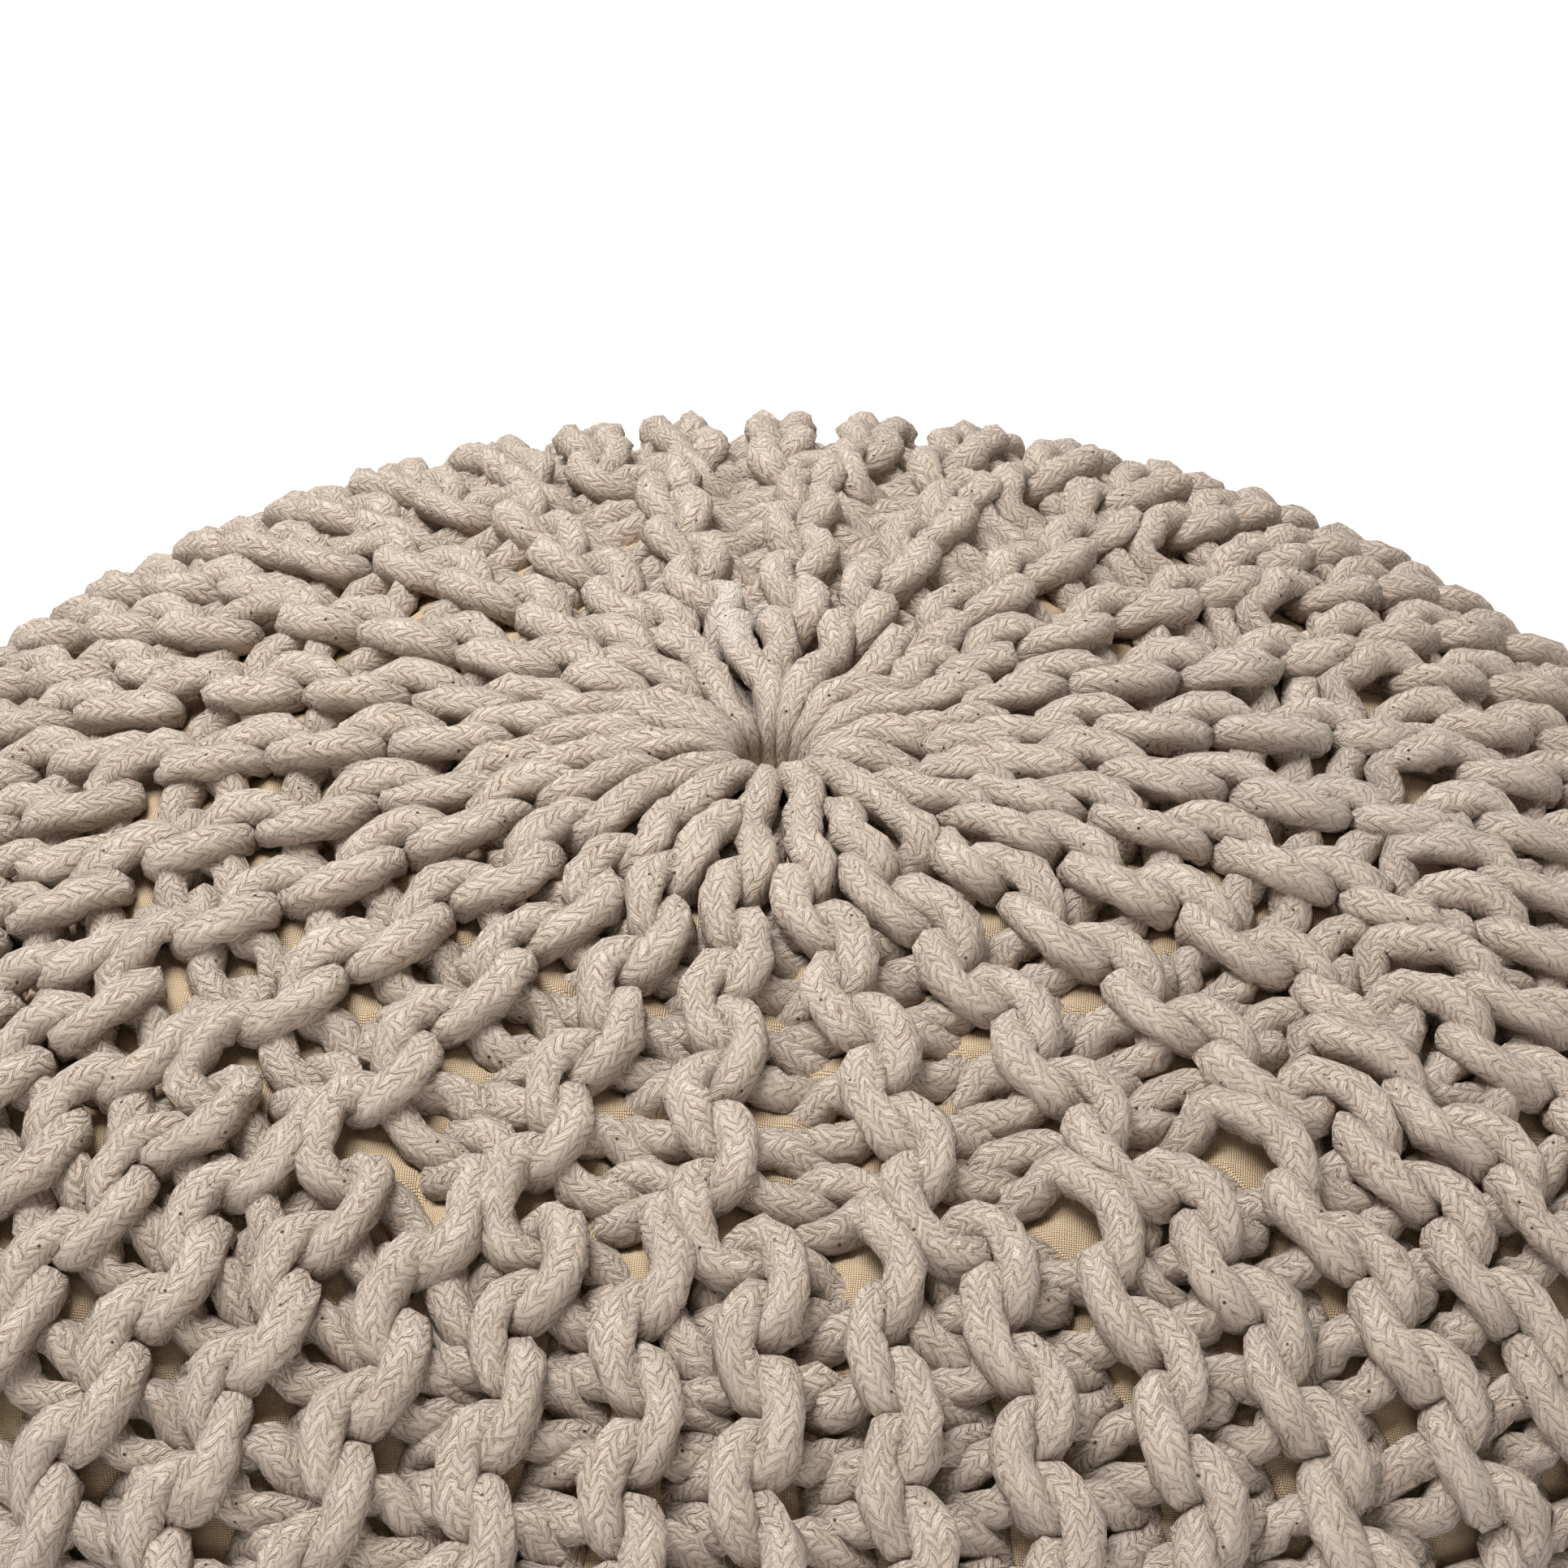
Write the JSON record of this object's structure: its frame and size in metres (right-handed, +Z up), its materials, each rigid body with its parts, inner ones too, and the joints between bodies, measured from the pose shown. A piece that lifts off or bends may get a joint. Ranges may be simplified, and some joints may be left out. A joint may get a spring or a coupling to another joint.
{
  "type": "knitted pouf",
  "caption": "Round floor pouf in chunky garter-stitch cotton cord, its ribs gathered to a puckered centre over a filled calico bag that shows through the gaps.",
  "frame": {"origin": "on the floor, under the middle of the pouf", "axes": "+Z up through the gathered centre of the top; the ribs run from there to the bottom centre"},
  "size_m": [0.5028, 0.4994, 0.2995],
  "materials": {
    "cotton_cord": "matt knitted cotton cord, natural undyed with seed flecks",
    "calico": "matt plain-weave unbleached cotton"
  },
  "bodies": {
    "root": {"knitted_cover": "cotton_cord", "inner_bag": "calico"}
  },
  "joints": []
}
